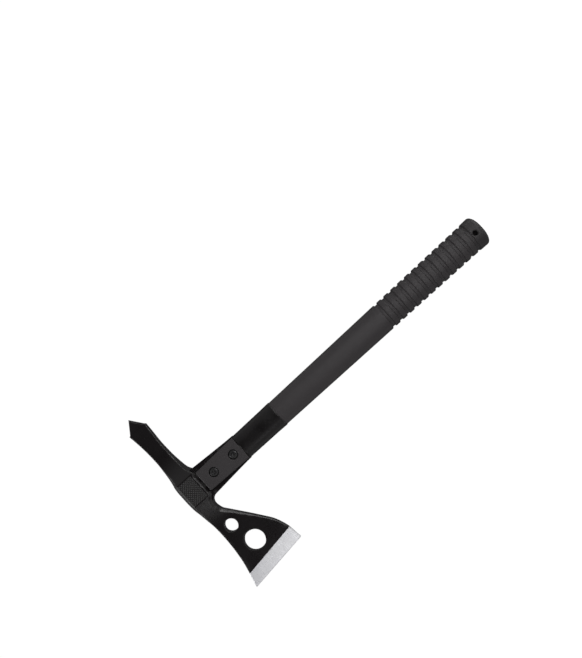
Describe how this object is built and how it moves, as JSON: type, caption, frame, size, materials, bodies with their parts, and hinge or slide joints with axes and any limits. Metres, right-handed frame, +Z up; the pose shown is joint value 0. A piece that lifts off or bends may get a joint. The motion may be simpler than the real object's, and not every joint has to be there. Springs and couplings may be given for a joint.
{
  "type": "fire axe",
  "caption": "Short one-hand breaching axe: flared bearded blade and chisel-point spike in one steel head, clamped by two screws in a forked nylon handle with a ringed grip.",
  "frame": {"origin": "bottom centre of the whole tool, lying on its side", "axes": "+X along the handle towards the head, +Y towards the cutting edge, +Z up through the tool's thickness"},
  "size_m": [0.3996, 0.2057, 0.023],
  "materials": {
    "coated_steel": "satin black hard coating, with the cutting bevel ground to bare steel",
    "handle_nylon": "fine moulded grain, dark grey",
    "sleeve_steel": "semi-gloss black",
    "black_hardware": "black oxide, satin",
    "insert_nylon": "natural nylon"
  },
  "bodies": {
    "root": {"axe_head": "coated_steel", "handle": "handle_nylon", "ferrule": "sleeve_steel", "front_screw": "black_hardware", "rear_screw": "black_hardware", "front_washer": "black_hardware", "rear_washer": "black_hardware", "front_lock_nut": "black_hardware", "rear_lock_nut": "black_hardware", "front_nut_insert": "insert_nylon", "rear_nut_insert": "insert_nylon"}
  },
  "joints": []
}
